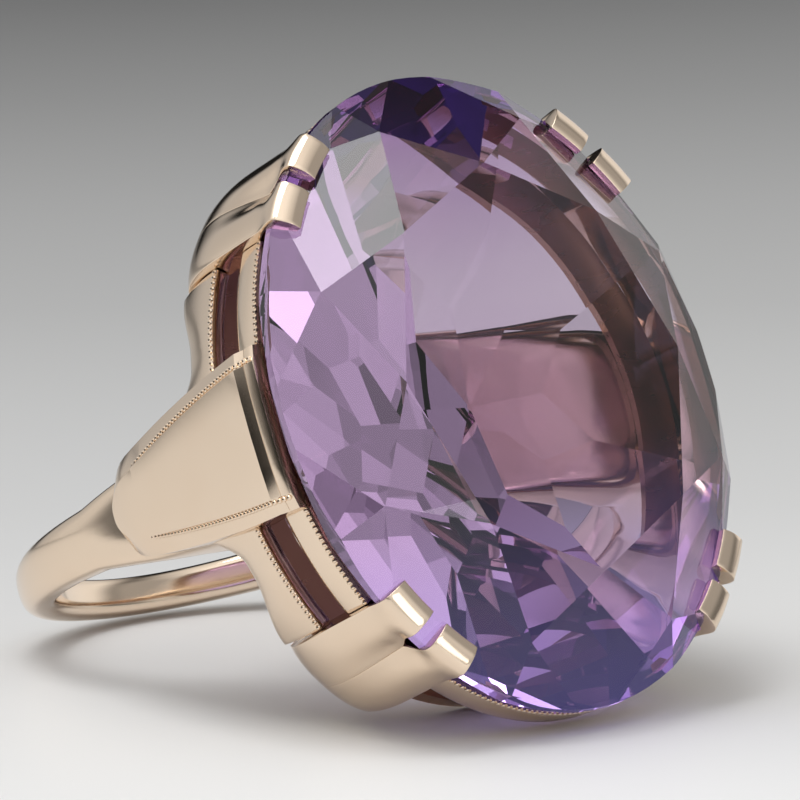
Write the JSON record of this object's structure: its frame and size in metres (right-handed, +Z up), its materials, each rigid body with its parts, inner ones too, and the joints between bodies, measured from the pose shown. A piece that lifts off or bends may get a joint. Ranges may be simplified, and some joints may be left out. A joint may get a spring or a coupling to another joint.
{
  "type": "cocktail ring",
  "caption": "Cocktail ring lying on its side: a large faceted oval stone in double claws on an open milgrained gallery, with keystone shoulders and a plain tapering shank.",
  "frame": {"origin": "centre of the bottom of the bounding box: the ring lies on its side on the floor, as it is displayed", "axes": "+Z up from the floor; +X the way the stone looks; +Y across the ring, from one shoulder to the other. The finger hole's axis leans 26 degrees from +Z towards -X."},
  "size_m": [0.03, 0.0212, 0.0235],
  "materials": {
    "gold": "polished warm yellow-rose gold, milgrained edges",
    "stone": "faceted and polished transparent lilac quartz"
  },
  "bodies": {
    "root": {"amethyst": "stone", "claws_left_lower": "gold", "claws_left_upper": "gold", "claws_right_lower": "gold", "claws_right_upper": "gold", "gallery_floor": "gold", "lower_rail_end_lower": "gold", "lower_rail_end_upper": "gold", "lower_rail_left_lower": "gold", "lower_rail_left_upper": "gold", "lower_rail_right_lower": "gold", "lower_rail_right_upper": "gold", "shank": "gold", "shoulder_left": "gold", "shoulder_right": "gold", "stone_seat": "gold", "upper_rail_end_lower": "gold", "upper_rail_end_upper": "gold", "upper_rail_left_lower": "gold", "upper_rail_left_upper": "gold", "upper_rail_right_lower": "gold", "upper_rail_right_upper": "gold"}
  },
  "joints": []
}
